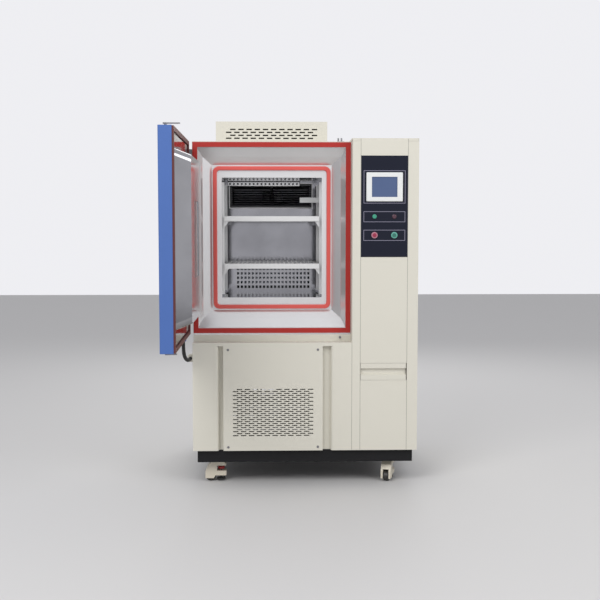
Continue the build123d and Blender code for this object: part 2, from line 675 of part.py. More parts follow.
# Water drawer in the column: folded front with a finger groove, and an open tray behind
drawer_x = (bay_left + panel_gap, bay_right - 3)
groove = (549.0, 583.0)
with BuildPart() as water_drawer:
    with BuildSketch(Plane.YZ.offset(drawer_x[0])):
        with BuildLine():
            Polyline((front, drawer_bottom), (front, groove[0]), (front + 14, groove[0] + 8),
                     (front + 14, groove[1]), (front, groove[1]), (front, drawer_top),
                     (front + 18, drawer_top), (front + 18, drawer_bottom), close=True)
        make_face()
    extrude(amount=drawer_x[1] - drawer_x[0])
    tray_x = (bay_left + 14, bay_right - 14)
    tray_y = (front + 18, front + 110)
    tray_z = (drawer_bottom + tray_rise, drawer_top - tray_rise)
    block(tray_x, tray_y, tray_z)
    block((tray_x[0] + 3, tray_x[1] - 3), (tray_y[0], tray_y[1] - 3), (tray_z[0] + 3, tray_z[1] + 1),
          mode=Mode.SUBTRACT)
save(water_drawer, "water_drawer")

# Door hinges: two on the left side of the cabinet
hinge_length = 100.0
hinge_bottoms = (810.0, 1560.0)
knuckle_radius = 11.0
pin_radius = 5.0
knuckle_end = 30.0
with BuildPart() as cabinet_hinge_leaves:
    for z in hinge_bottoms:
        for low in (z, z + hinge_length - knuckle_end):
            drum((hinge_x, hinge_y, low + knuckle_end / 2), knuckle_radius, knuckle_end)
            block((hinge_x, left), (hinge_y + 4, hinge_y + 16), (low, low + knuckle_end))
        block((left - 4, left), (hinge_y + 4, hinge_y + 80), (z, z + hinge_length))
        drum((hinge_x, hinge_y, z + hinge_length / 2), pin_radius, hinge_length)
save(cabinet_hinge_leaves, "cabinet_hinge_leaves")

with BuildPart() as door_hinge_leaves:
    for z in hinge_bottoms:
        low = z + knuckle_end + seat_gap
        high = z + hinge_length - knuckle_end - seat_gap
        block((shell_outer_x + 8, shell_inner_x - 4), (door_hinge_end, door_hinge_end + 4), (z, z + hinge_length))
        block((hinge_x - knuckle_radius, hinge_x - 2), (door_hinge_end, hinge_y), (low, high))
        drum((hinge_x, hinge_y, (low + high) / 2), knuckle_radius, high - low)
        drum((hinge_x, hinge_y, (low + high) / 2), pin_radius + fit_gap, high - low + 2, mode=Mode.SUBTRACT)
save(door_hinge_leaves, "door_hinge_leaves")

# Door, open at a right angle: blue shell with its window, latch bore and handle pocket
window_y = door_hinge_end - (chamber_width / 2)
window_z = work_mid_z
rod_radius = 6.0
rod_x = shell_inner_x - door_shell_thickness / 2
rod_y = door_free_end + 40.0
pocket_y = (rod_y - 30, rod_y + 110)
pocket_z = (door_mid_z - 75, door_mid_z + 75)
pocket_depth = 46.0
with BuildPart() as door_shell:
    block((shell_outer_x, shell_inner_x), (door_free_end, door_hinge_end), (door_bottom, door_top))
    fillet(door_shell.edges().filter_by(Axis.Z).group_by(Axis.X)[0], 6)
    block((shell_outer_x - 1, shell_inner_x + 1), (window_y - window_width / 2, window_y + window_width / 2),
          (window_z - window_height / 2, window_z + window_height / 2), mode=Mode.SUBTRACT)
    drum((rod_x, rod_y, door_mid_z), rod_radius + fit_gap, door_height + 4, mode=Mode.SUBTRACT)
    block((shell_outer_x - 1, shell_outer_x + pocket_depth), pocket_y, pocket_z, mode=Mode.SUBTRACT)
    drum((hose_top[0], hose_top[1], hose_top[2] + gland_length / 2), gland_radius, gland_length)
save(door_shell, "door_shell")

# Polished inner plug, tapered, with rounded corners and the window's tunnel
plug_base = (640.0, 765.0)
plug_face = (590.0, 714.0)
plug_radius = 30.0
land_thickness = 3.0
door_plane = Plane(origin=(shell_inner_x, window_y, work_mid_z), x_dir=(0, 1, 0), z_dir=(1, 0, 0))
with BuildPart() as door_plug:
    with BuildSketch(door_plane):
        with Locations((0, door_mid_z - work_mid_z)):
            Rectangle(chamber_width - 2 * door_seal_width - 8, door_height - 2 * door_seal_width - 8)
    extrude(amount=land_thickness)
    with BuildSketch(door_plane.offset(land_thickness)):
        RectangleRounded(*plug_base, plug_radius)
    with BuildSketch(door_plane.offset(plug_reach)):
        RectangleRounded(*plug_face, plug_radius)
    loft()
    with BuildSketch(door_plane):
        Rectangle(window_width, window_height)
    extrude(amount=plug_reach + 1, mode=Mode.SUBTRACT)
save(door_plug, "door_plug")

with BuildPart() as door_seal:
    with BuildSketch(Plane(origin=(shell_inner_x, window_y, door_mid_z), x_dir=(0, 1, 0), z_dir=(1, 0, 0))):
        Rectangle(chamber_width - 4, door_height - 4)
        Rectangle(chamber_width - 4 - 2 * door_seal_width, door_height - 4 - 2 * door_seal_width,
                  mode=Mode.SUBTRACT)
    extrude(amount=door_seal_thickness)
save(door_seal, "door_seal")

glass_thickness = 6.0
with BuildPart() as window_glass:
    for x in (shell_outer_x + 4, shell_inner_x + plug_reach - 4 - glass_thickness):
        block((x, x + glass_thickness), (window_y - window_width / 2, window_y + window_width / 2),
              (window_z - window_height / 2, window_z + window_height / 2))
save(window_glass, "window_glass")

# Latch: a rod through the door with an arm over each end, and a paddle in the pocket
top_arm_reach = 55.0
low_arm_reach = 34.0
arm_half = 6.0
arm_thickness = 5.0
with BuildPart() as latch_rod:
    arm_top = (roof_top + 5, roof_top + 5 + arm_thickness)
    arm_low = (door_bottom - 3 - arm_thickness, door_bottom - 3)
    drum((rod_x, rod_y, (arm_low[0] + arm_top[1]) / 2), rod_radius, arm_top[1] - arm_low[0])
    for z, reach in ((arm_top, top_arm_reach), (arm_low, low_arm_reach)):
        drum((rod_x, rod_y, (z[0] + z[1]) / 2), 11, arm_thickness)
        block((rod_x, rod_x + reach), (rod_y - arm_half, rod_y + arm_half), z)
        drum((rod_x + reach, rod_y, (z[0] + z[1]) / 2), arm_half, arm_thickness)
save(latch_rod, "latch_rod")

with BuildPart() as door_handle:
    paddle_x = (shell_outer_x + 1, shell_outer_x + 6)
    block(paddle_x, (rod_y - 14, rod_y + 92), (door_mid_z - 50, door_mid_z + 50))
    block((paddle_x[1], rod_x + 11), (rod_y - 11, rod_y + 11), (door_mid_z - 40, door_mid_z + 40))
    drum((rod_x, rod_y, door_mid_z), rod_radius, 90, mode=Mode.SUBTRACT)
save(door_handle, "door_handle")

# Keepers on the roof and under the opening, where the latch arms come to lie
closed_rod_x = left + chamber_width - 40.0
closed_rod_y = hinge_y + (rod_x - hinge_x)
with BuildPart() as latch_keepers:
    block((closed_rod_x - 28, closed_rod_x + 8), (face_y + 22, face_y + 50), (roof_top, roof_top + 3))
    for dx in (-21, -5):
        drum((closed_rod_x + dx, face_y + 40, roof_top + 10), 4, 20)
    drum((closed_rod_x - 13, face_y - 4, door_bottom - 22), 6, 8, along_y)
save(latch_keepers, "latch_keepers")

def corner_radii(points):
    """The largest arc at each corner that its two runs leave room for."""
    radii = []
    for before, here, after in zip(points, points[1:], points[2:]):
        run_in = Vector(*here) - Vector(*before)
        run_out = Vector(*after) - Vector(*here)
        turn = math.radians(run_in.get_angle(run_out))
        radii.append(0.45 * min(run_in.length, run_out.length) / math.tan(turn / 2))
    return radii


hose_radii = corner_radii(hose_route)
print("conduit radii", [round(r) for r in hose_radii])
with BuildPart() as door_conduit:
    with BuildLine() as hose_line:
        FilletPolyline(*hose_route, radius=hose_radii)
    with BuildSketch(Plane(origin=hose_route[0], z_dir=hose_line.line % 0)):
        Circle(hose_radius)
    sweep()
hose_length = sum(edge.length for edge in hose_line.edges())
print("conduit length", round(hose_length), "volume ratio",
      round(door_conduit.part.volume / (math.pi * hose_radius ** 2 * hose_length), 4))
save(door_conduit, "door_conduit")

# Levelling casters: swivel housing, wheel on its axle, and a foot with its red dial
wheel_radius = 26.0
wheel_width = 26.0
wheel_trail = 36.0
axle_radius = 5.0
pad_radius = 23.0
foot_offset = -17.0
stem_radius = 6.0
dial_radius = 17.0
dial_z = (62.0, 72.0)
housing_top = 104.0
housing_width = 50.0

for corner, (x, y, heading) in caster_places.items():
    turned = Plane(origin=(x, y, 0), x_dir=(math.cos(math.radians(heading)),
                                            math.sin(math.radians(heading)), 0), z_dir=(0, 0, 1))
    side = Plane(origin=turned.origin, x_dir=turned.x_dir, z_dir=-turned.y_dir)
    with BuildPart(turned) as caster_housing:
        with BuildSketch(side):
            with BuildLine():
                Polyline((-43, 30), (-43, 88), (-26, housing_top), (24, housing_top), (48, 84),
                         (62, 52), (62, 16), (20, 16), (12, 30), close=True)
            make_face()
        extrude(amount=housing_width / 2, both=True)
        fillet(caster_housing.edges().filter_by(GeomType.LINE).group_by(Axis.Z)[-1], 4)
        with Locations((wheel_trail + 18, 0, 28)):
            Box(36 + 2 * wheel_radius, wheel_width + 4, 2 * wheel_radius + 16, mode=Mode.SUBTRACT)
        with Locations(Location((wheel_trail, 0, wheel_radius), (90, 0, 0))):
            Cylinder(axle_radius, housing_width)
        with Locations((foot_offset, 0, 45)):
            Cylinder(stem_radius + fit_gap, 90, mode=Mode.SUBTRACT)
        with Locations((foot_offset - 6, 0, (dial_z[0] + dial_z[1]) / 2)):
            Box(2 * dial_radius + 20, housing_width + 2, 26, mode=Mode.SUBTRACT)
        with Locations((0, 0, (housing_top + plinth_bottom - seat_gap) / 2)):
            Cylinder(swivel_radius, plinth_bottom - seat_gap - housing_top)
    save(caster_housing, f"caster_housing_{corner}")

    with BuildPart(turned) as caster_wheel:
        with Locations(Location((wheel_trail, 0, wheel_radius), (90, 0, 0))):
            Cylinder(wheel_radius, wheel_width)
            Cylinder(axle_radius + fit_gap, wheel_width + 2, mode=Mode.SUBTRACT)
        fillet(caster_wheel.edges().filter_by(GeomType.CIRCLE).filter_by(
            lambda edge: edge.radius > wheel_radius - 1), 4)
    save(caster_wheel, f"caster_wheel_{corner}")

    with BuildPart(turned) as levelling_foot:
        with Locations((foot_offset, 0, 11)):
            Cylinder(pad_radius, 6)
        with Locations((foot_offset, 0, 47)):
            Cylinder(stem_radius, 70)
        with Locations((foot_offset, 0, (dial_z[0] + dial_z[1]) / 2)):
            Cylinder(dial_radius, dial_z[1] - dial_z[0])
    save(levelling_foot, f"levelling_foot_{corner}")
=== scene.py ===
"""An environmental test chamber: finishes, trim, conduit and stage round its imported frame."""

import math

import bpy
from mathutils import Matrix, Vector


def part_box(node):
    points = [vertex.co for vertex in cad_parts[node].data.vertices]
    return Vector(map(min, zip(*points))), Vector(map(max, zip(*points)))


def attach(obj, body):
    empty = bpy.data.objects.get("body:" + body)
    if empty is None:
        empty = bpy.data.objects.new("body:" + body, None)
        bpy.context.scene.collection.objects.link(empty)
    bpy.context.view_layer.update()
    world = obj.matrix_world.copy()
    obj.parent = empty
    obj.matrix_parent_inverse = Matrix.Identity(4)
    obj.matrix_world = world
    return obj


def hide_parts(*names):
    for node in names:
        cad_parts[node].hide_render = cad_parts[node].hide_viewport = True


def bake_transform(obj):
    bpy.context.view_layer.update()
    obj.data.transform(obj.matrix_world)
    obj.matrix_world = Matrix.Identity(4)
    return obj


bl_info = {
    "name": "Environmental Test Chamber",
    "version": (1, 0, 0),
    "blender": (4, 5, 0),
    "location": "View3D > Sidebar > Chamber",
    "description": "Dresses an environmental test chamber with its finishes and trim",
    "category": "Object",
}

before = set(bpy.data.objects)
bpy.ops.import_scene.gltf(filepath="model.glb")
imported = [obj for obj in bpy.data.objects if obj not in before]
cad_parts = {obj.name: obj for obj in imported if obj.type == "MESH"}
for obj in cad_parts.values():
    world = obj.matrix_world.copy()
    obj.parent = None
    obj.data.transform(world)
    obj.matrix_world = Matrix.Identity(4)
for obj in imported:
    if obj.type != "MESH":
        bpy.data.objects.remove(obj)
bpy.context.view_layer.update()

# Driving places, in metres
CABINET_WIDTH = 1.110
CHAMBER_WIDTH = 0.783
PANEL_MARGIN = 0.053       # from the column's panels to the cabinet's right side
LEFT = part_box("column_panels")[1].x + PANEL_MARGIN - CABINET_WIDTH
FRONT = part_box("column_panels")[0].y
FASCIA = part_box("control_fascia")
FASCIA_FACE = FASCIA[0].y
FASCIA_X = (FASCIA[0].x + FASCIA[1].x) / 2
DIAL_TOP = 0.061           # the levelling feet are black up to here and red above

# Camera: scale at the cabinet's front, its place, and how far its aim is turned, in pixels
IMAGE_WIDTH = 600.0
PIXELS_PER_METRE = 204.35
EYE_FROM_LEFT = 0.3867
EYE_HEIGHT = 1.280
AIM_RIGHT = 29.0
AIM_DOWN = 73.0

# Soft square lamps: name, place and power
LAMPS = (("key", (-2.4, -4.4, 4.6), 175), ("fill", (3.6, -3.8, 3.6), 90), ("back", (0.5, 4.0, 3.6), 60))
LAMP_SIZE = 3.0
LAMP_AIM = Vector((0, 0, 0.9))

# Printed frames: half their width, and low and high z round the screen, lamps and buttons
FRAME_HALF = 0.102
FRAME_HEIGHTS = ((1.395, 1.555), (1.304, 1.356), (1.213, 1.266))
PRINT_DEPTH = 0.0006

# Grille screws: from the cabinet's left side, and in from the panel's ends
SCREW_LEFT, SCREW_RIGHT = 0.174, 0.617
SCREW_MARGIN = 0.018
SLOT_LENGTH, SLOT_WIDTH = 0.0075, 0.0016

# Perforated strip above the louvre: its ends from the left side, and its holes
STRIP_LEFT, STRIP_RIGHT = 0.150, 0.545
HOLE_COUNT = 18
HOLE_PITCH = 0.0214
HOLE_RADIUS = 0.0055
HOLE_MARGIN = 0.015


class ChamberSizes(bpy.types.PropertyGroup):
    """Sizes that a user would change."""

    screw_radius: bpy.props.FloatProperty(
        name="Screw radius", description="Radius of a panel screw's head", default=0.006,
        min=0.002, max=0.02, subtype="DISTANCE", unit="LENGTH")
    line_width: bpy.props.FloatProperty(
        name="Panel line", description="Width of the printed lines on the control panel", default=0.0024,
        min=0.0005, max=0.01, subtype="DISTANCE", unit="LENGTH")
    hose_ribs: bpy.props.FloatProperty(
        name="Rib pitch", description="Distance from rib to rib along the conduit", default=0.005,
        min=0.002, max=0.02, subtype="DISTANCE", unit="LENGTH")
    eye_distance: bpy.props.FloatProperty(
        name="Eye distance", description="From the camera to the cabinet's front", default=4.9,
        min=1, max=20, subtype="DISTANCE", unit="LENGTH")


class ChamberColours(bpy.types.PropertyGroup):
    """Colours that a user would change."""

    cream: bpy.props.FloatVectorProperty(
        name="Cabinet", description="Cabinet paint", subtype="COLOR", size=3, default=(0.68, 0.655, 0.57))
    blue: bpy.props.FloatVectorProperty(
        name="Door", description="Door paint", subtype="COLOR", size=3, default=(0.060, 0.138, 0.405))
    seal: bpy.props.FloatVectorProperty(
        name="Seal", description="Silicone seals", subtype="COLOR", size=3, default=(0.44, 0.024, 0.018))


def shader(name):
    """A new material with its Principled shader."""
    material = bpy.data.materials.new(name)
    material.use_nodes = True
    return material, material.node_tree.nodes["Principled BSDF"]


def group_of(name, inputs, outputs):
    """A new shader node group with its input and output nodes."""
    group = bpy.data.node_groups.new(name, "ShaderNodeTree")
    for label, kind, value in inputs:
        socket = group.interface.new_socket(label, in_out="INPUT", socket_type=kind)
        if value is not None:
            socket.default_value = value
    for label, kind in outputs:
        group.interface.new_socket(label, in_out="OUTPUT", socket_type=kind)
    return group, group.nodes.new("NodeGroupInput"), group.nodes.new("NodeGroupOutput")


GRAIN_DULLS = 0.12         # how much the grain raises the roughness at most


def uneven_and_reflection_group():
    """Slow colour change and fine bumps of a sprayed, rolled or moulded surface; on the mirror and liner
    steel its strong dark patches are painted reflection, on the throat steel in part.
    """
    group, given, out = group_of(
        "uneven_tone_and_painted_reflection",
        [("Vector", "NodeSocketVector", None), ("Colour", "NodeSocketColor", (0.5, 0.5, 0.5, 1)),
         ("Shade", "NodeSocketColor", (0.4, 0.4, 0.4, 1)), ("Amount", "NodeSocketFloat", 0.3),
         ("Roughness", "NodeSocketFloat", 0.4), ("Grain", "NodeSocketFloat", 400.0),
         ("Stretch", "NodeSocketVector", (1, 1, 1))],
        [("Colour", "NodeSocketColor"), ("Roughness", "NodeSocketFloat"), ("Height", "NodeSocketFloat")])
    nodes, link = group.nodes, group.links.new
    cloud = nodes.new("ShaderNodeTexNoise")
    cloud.inputs["Scale"].default_value = 3.5
    cloud.inputs["Detail"].default_value = 4
    stretched = nodes.new("ShaderNodeVectorMath")
    stretched.operation = "MULTIPLY"
    grain = nodes.new("ShaderNodeTexNoise")
    grain.inputs["Detail"].default_value = 3
    share = nodes.new("ShaderNodeMath")
    share.operation = "MULTIPLY"
    mix = nodes.new("ShaderNodeMix")
    mix.data_type = "RGBA"
    dull = nodes.new("ShaderNodeMath")
    dull.operation = "MULTIPLY_ADD"
    dull.inputs[1].default_value = GRAIN_DULLS
    link(given.outputs["Vector"], cloud.inputs["Vector"])
    link(given.outputs["Vector"], stretched.inputs[0])
    link(given.outputs["Stretch"], stretched.inputs[1])
    link(stretched.outputs[0], grain.inputs["Vector"])
    link(given.outputs["Grain"], grain.inputs["Scale"])
    link(cloud.outputs["Fac"], share.inputs[0])
    link(given.outputs["Amount"], share.inputs[1])
    link(share.outputs[0], mix.inputs["Factor"])
    link(given.outputs["Colour"], mix.inputs["A"])
    link(given.outputs["Shade"], mix.inputs["B"])
    link(grain.outputs["Fac"], dull.inputs[0])
    link(given.outputs["Roughness"], dull.inputs[2])
    link(mix.outputs["Result"], out.inputs["Colour"])
    link(dull.outputs[0], out.inputs["Roughness"])
    link(grain.outputs["Fac"], out.inputs["Height"])
    return group


def finish(name, colour, roughness=0.4, metallic=0.0, amount=0.3, grain=400.0, stretch=(1, 1, 1),
           bump=0.05, coat=0.0, shade=0.82, specular=0.5):
    """A material with the uneven tone in its colour, roughness and bump; where the shade colour is strong,
    its dark patches are painted reflection.
    """
    material, surface = shader(name)
    nodes, link = material.node_tree.nodes, material.node_tree.links.new
    place = nodes.new("ShaderNodeTexCoord")
    uneven = nodes.new("ShaderNodeGroup")
    uneven.node_tree = bpy.data.node_groups.get("uneven_tone_and_painted_reflection") or uneven_and_reflection_group()
    uneven.inputs["Colour"].default_value = (*colour, 1)
    uneven.inputs["Shade"].default_value = (*[shade * part for part in colour], 1)
    uneven.inputs["Amount"].default_value = amount
    uneven.inputs["Roughness"].default_value = roughness - GRAIN_DULLS / 2
    uneven.inputs["Grain"].default_value = grain
    uneven.inputs["Stretch"].default_value = stretch
    bumps = nodes.new("ShaderNodeBump")
    bumps.inputs["Strength"].default_value = bump
    bumps.inputs["Distance"].default_value = 0.001
    link(place.outputs["Object"], uneven.inputs["Vector"])
    link(uneven.outputs["Colour"], surface.inputs["Base Color"])
    link(uneven.outputs["Roughness"], surface.inputs["Roughness"])
    link(uneven.outputs["Height"], bumps.inputs["Height"])
    link(bumps.outputs["Normal"], surface.inputs["Normal"])
    surface.inputs["Metallic"].default_value = metallic
    surface.inputs["Coat Weight"].default_value = coat
    surface.inputs["Specular IOR Level"].default_value = specular
    return material


def split_group():
    """Two colours, the second past a split along one coordinate."""
    group, given, out = group_of(
        "split_colour",
        [("Position", "NodeSocketFloat", 0.0), ("Split", "NodeSocketFloat", 0.0),
         ("Softness", "NodeSocketFloat", 0.0005), ("Near", "NodeSocketColor", (0.5, 0.5, 0.5, 1)),
         ("Far", "NodeSocketColor", (0.1, 0.1, 0.1, 1))],
        [("Colour", "NodeSocketColor")])
    nodes, link = group.nodes, group.links.new
    step = nodes.new("ShaderNodeMapRange")
    for limit, operation in (("From Min", "SUBTRACT"), ("From Max", "ADD")):
        edge = nodes.new("ShaderNodeMath")
        edge.operation = operation
        link(given.outputs["Split"], edge.inputs[0])
        link(given.outputs["Softness"], edge.inputs[1])
        link(edge.outputs[0], step.inputs[limit])
    mix = nodes.new("ShaderNodeMix")
    mix.data_type = "RGBA"
    link(given.outputs["Position"], step.inputs["Value"])
    link(step.outputs[0], mix.inputs["Factor"])
    link(given.outputs["Near"], mix.inputs["A"])
    link(given.outputs["Far"], mix.inputs["B"])
    link(mix.outputs["Result"], out.inputs["Colour"])
    return group


def two_tone(material, axis, split, beyond):
    """Past a split along an axis, the material takes a second colour."""
    nodes, link = material.node_tree.nodes, material.node_tree.links.new
    surface = nodes["Principled BSDF"]
    source = surface.inputs["Base Color"].links[0].from_socket
    place = nodes.new("ShaderNodeTexCoord")
    parts = nodes.new("ShaderNodeSeparateXYZ")
    halves = nodes.new("ShaderNodeGroup")
    halves.node_tree = bpy.data.node_groups.get("split_colour") or split_group()
    halves.inputs["Split"].default_value = split
    halves.inputs["Far"].default_value = (*beyond, 1)
    link(place.outputs["Object"], parts.inputs[0])
    link(parts.outputs[axis], halves.inputs["Position"])
    link(source, halves.inputs["Near"])
    link(halves.outputs["Colour"], surface.inputs["Base Color"])


def glass_finish():
    """Clear window glass."""
    material, surface = shader("window_glass")
    surface.inputs["Base Color"].default_value = (0.86, 0.92, 0.93, 1)
    surface.inputs["Roughness"].default_value = 0.02
    surface.inputs["Transmission Weight"].default_value = 0.9
    surface.inputs["IOR"].default_value = 1.45
    return material


def make_finishes():
    """Every material of the chamber, by its name."""
    colours = bpy.context.scene.chamber_colours
    cream, blue, seal = tuple(colours.cream), tuple(colours.blue), tuple(colours.seal)
    made = {
        "cream": finish("cream_paint", cream, 0.42, amount=0.25, grain=900, bump=0.12, shade=0.9),
        "blue": finish("blue_paint", blue, 0.38, amount=0.3, grain=900, bump=0.12),
        "black": finish("black_paint", (0.007, 0.007, 0.008), 0.55, grain=900, bump=0.1, specular=0.25),
        # Mirror and liner steel: their large dark cloud patches are painted reflection.
        "mirror": finish("mirror_steel_painted_reflection", (0.44, 0.44, 0.46), 0.10, 1.0, 0.8, 60, (1, 1, 1), 0.02, shade=0.35),
        "liner": finish("liner_steel_painted_reflection", (0.46, 0.46, 0.49), 0.10, 1.0, 0.9, 40, (1, 1, 1), 0.02, shade=0.3),
        # Throat steel: its dark cloud patches are partly uneven tone and partly painted reflection.
        "throat": finish("throat_steel_tone_and_painted_reflection", (0.80, 0.80, 0.80), 0.20, 0.6, 0.5, 60, (1, 1, 1), 0.02, shade=0.7),
        "satin": finish("satin_steel", (0.70, 0.70, 0.70), 0.24, 1.0, 0.3, 500, (0.05, 1, 1), 0.04),
        "shelf": finish("shelf_steel", (0.78, 0.78, 0.77), 0.32, 0.7, 0.3, 600, (0.05, 1, 1), 0.05),
        "hardware": finish("hardware_steel", (0.25, 0.25, 0.26), 0.4, 1.0, 0.4, 700),
        "louvre": finish("louvre_black", (0.02, 0.02, 0.021), 0.4, grain=700),
        "seal": finish("red_silicone", seal, 0.45, amount=0.4, grain=300, bump=0.1, shade=0.6, specular=0.35),
        "inner_seal": finish("inner_silicone", (0.72, 0.10, 0.085), 0.4, amount=0.35, grain=300, shade=0.75),
        "door_seal": finish("door_rubber", (0.10, 0.018, 0.016), 0.5, amount=0.3, grain=300),
        "navy": finish("control_film", (0.008, 0.010, 0.022), 0.22, grain=1200, bump=0.03, specular=0.22),
        "white": finish("white_plastic", (0.76, 0.77, 0.76), 0.35, amount=0.15, grain=1000, shade=0.92),
        "screen": finish("screen_glass", (0.080, 0.12, 0.24), 0.15, grain=30, bump=0.0, specular=0.35),
        "lamp": finish("lamp_lens", (0.03, 0.30, 0.19), 0.2, coat=0.5, grain=300),
        "ring": finish("button_ring", (0.50, 0.20, 0.26), 0.3, coat=0.4, grain=500),
        "stop": finish("stop_red", (0.30, 0.01, 0.05), 0.3, coat=0.4, grain=500),
        "start": finish("start_green", (0.02, 0.16, 0.12), 0.3, coat=0.4, grain=500),
        "foam": finish("foam", (0.75, 0.66, 0.45), 0.9, grain=200, bump=0.5),
        "aluminium": finish("fin_aluminium", (0.62, 0.62, 0.63), 0.35, 1.0, grain=600),
        "glass": glass_finish(),
        "hose": finish("hose_black", (0.008, 0.008, 0.008), 0.45, grain=600),
        "ivory": finish("ivory_cast", (0.72, 0.66, 0.54), 0.45, amount=0.4, grain=250, bump=0.2, shade=0.7),
        "wheel": finish("wheel_nylon", (0.03, 0.028, 0.026), 0.45, grain=400, bump=0.15),
        "foot": finish("foot_rubber", (0.02, 0.02, 0.02), 0.5, grain=400),
        "seam_shade": finish("seam_shadow", (0.30, 0.29, 0.25), 0.6, grain=900),
        "line": finish("panel_line", (0.26, 0.25, 0.33), 0.4, grain=900),
    }
    two_tone(made["lamp"], "X", FASCIA_X, (0.065, 0.018, 0.035))
    two_tone(made["ring"], "X", FASCIA_X, (0.12, 0.42, 0.34))
    two_tone(made["foot"], "Z", DIAL_TOP, (0.30, 0.012, 0.012))
    return made


NODE_FINISHES = {
    "cream": ("side_panels", "rear_panel", "top_panel", "lower_front_frame", "condenser_grille",
              "column_frame", "column_panels", "motor_cover", "water_drawer"),
    "blue": ("door_shell",),
    "black": ("base_frame", "compressor", "circulation_motor", "condenser_shroud"),
    "mirror": ("door_plug", "return_air_grille"),
    "liner": ("inner_liner", "duct_plate"),
    "throat": ("throat_frame",),
    "shelf": ("upper_shelf", "lower_shelf", "shelf_supports"),
    "hardware": ("cabinet_hinge_leaves", "door_hinge_leaves", "latch_rod", "door_handle", "latch_keepers"),
    "louvre": ("air_outlet_louvre",),
    "seal": ("outer_seal",),
    "inner_seal": ("inner_seal",),
    "door_seal": ("door_seal",),
    "navy": ("control_fascia",),
    "white": ("touchscreen_bezel", "wet_bulb_trough", "water_tank"),
    "screen": ("touchscreen_panel",),
    "lamp": ("indicator_lamps",),
    "ring": ("button_bezels",),
    "stop": ("stop_button",),
    "start": ("start_button",),
    "foam": ("insulation",),
    "aluminium": ("circulation_fan", "condenser_fan", "evaporator_coil", "condenser_coil",
                  "electrical_plate"),
    "glass": ("window_glass",),
    "hose": ("door_conduit",),
    "ivory": tuple(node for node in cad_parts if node.startswith("caster_housing")),
    "wheel": tuple(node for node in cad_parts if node.startswith("caster_wheel")),
    "foot": tuple(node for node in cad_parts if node.startswith("levelling_foot")),
}


def named_finish(key):
    """The material made for a key of make_finishes."""
    return bpy.data.materials[bpy.context.scene["chamber_" + key]]


def dress(piece, key, body):
    """Give a finished piece its material, body and material slot."""
    piece.data.materials.clear()
    piece.data.materials.append(named_finish(key))
    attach(piece, body)


def settle(name):
    """Name the active object and apply its place and modifiers."""
    piece = bpy.context.object
    piece.name = name
    bpy.ops.object.transform_apply(location=True, rotation=True, scale=True)
    for modifier in list(piece.modifiers):
        bpy.ops.object.modifier_apply(modifier=modifier.name)
    return piece


def bar(name, low, high, bevel=0.0008, segments=2):
    """A strip between two corners, with its edges rounded in edit mode."""
    bpy.ops.object.select_all(action="DESELECT")
    low, high = Vector(low), Vector(high)
    bpy.ops.mesh.primitive_cube_add(size=1, location=(low + high) / 2)
    bpy.context.object.scale = high - low
    bpy.ops.object.transform_apply(scale=True)
    bpy.ops.object.mode_set(mode="EDIT")
    bpy.ops.mesh.select_all(action="SELECT")
    bpy.ops.mesh.bevel(offset=bevel, segments=segments, affect="EDGES")
    bpy.ops.object.mode_set(mode="OBJECT")
    return settle(name)


def joined(name, pieces):
    """Several pieces joined in one mesh."""
    bpy.ops.object.select_all(action="DESELECT")
    for piece in pieces:
        piece.select_set(True)
    bpy.context.view_layer.objects.active = pieces[0]
    bpy.ops.object.join()
    return settle(name)


def copies(piece, offsets):
    """The piece and its moved copies, each with its own mesh."""
    made = [piece]
    for offset in offsets:
        bpy.ops.object.select_all(action="DESELECT")
        piece.select_set(True)
        bpy.context.view_layer.objects.active = piece
        bpy.ops.object.duplicate()
        bpy.context.object.location = offset
        made.append(settle(piece.name))
    return made


class CHAMBER_OT_finishes(bpy.types.Operator):
    """Make the finishes and give them to the frame's own parts"""

    bl_idname = "chamber.finishes"
    bl_label = "Finishes"

    def execute(self, context):
        for key, material in make_finishes().items():
            context.scene["chamber_" + key] = material.name
        for key, nodes in NODE_FINISHES.items():
            for node in nodes:
                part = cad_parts[node]
                if not part.material_slots:
                    part.data.materials.append(None)
                for place in part.material_slots:
                    place.material = named_finish(key)
        return {"FINISHED"}


# The conduit's route, repeated from the model, from the door's gland to the cabinet's housing
HOSE_TOP = (LEFT - 0.035, FRONT - 0.104, 0.733)
HOSE_ROUTE = [
    HOSE_TOP,
    (HOSE_TOP[0], HOSE_TOP[1], 0.686),
    (HOSE_TOP[0] + 0.004, HOSE_TOP[1] + 0.031, 0.649),
    (HOSE_TOP[0] + 0.013, HOSE_TOP[1] + 0.074, 0.630),
    (HOSE_TOP[0] + 0.020, HOSE_TOP[1] + 0.118, 0.628),
    (HOSE_TOP[0] + 0.020, HOSE_TOP[1] + 0.162, 0.628),
]
HOSE_RADIUS = 0.009
HOSE_SIDES = 20
RIB_DEPTH = 0.0012
RIB_RINGS = 4
CURVE_STEPS = 24


def route_points(route, steps):
    """Points read from the smooth curve through a route."""
    data = bpy.data.curves.new("route", "CURVE")
    data.dimensions = "3D"
    spline = data.splines.new("NURBS")
    spline.points.add(len(route) - 1)
    for point, place in zip(spline.points, route):
        point.co = (*place, 1)
    spline.order_u = 3
    spline.use_endpoint_u = True
    spline.resolution_u = steps
    holder = bpy.data.objects.new("route", data)
    bpy.context.collection.objects.link(holder)
    mesh = bpy.data.meshes.new_from_object(holder)
    points = [vertex.co.copy() for vertex in mesh.vertices]
    bpy.data.objects.remove(holder)
    bpy.data.meshes.remove(mesh)
    return points


def along(points, distance):
    """Place and direction at a distance along a line of points."""
    for here, after in zip(points, points[1:]):
        run = (after - here).length
        if distance <= run or after is points[-1]:
            return here.lerp(after, min(1, distance / run)), (after - here).normalized()
        distance -= run


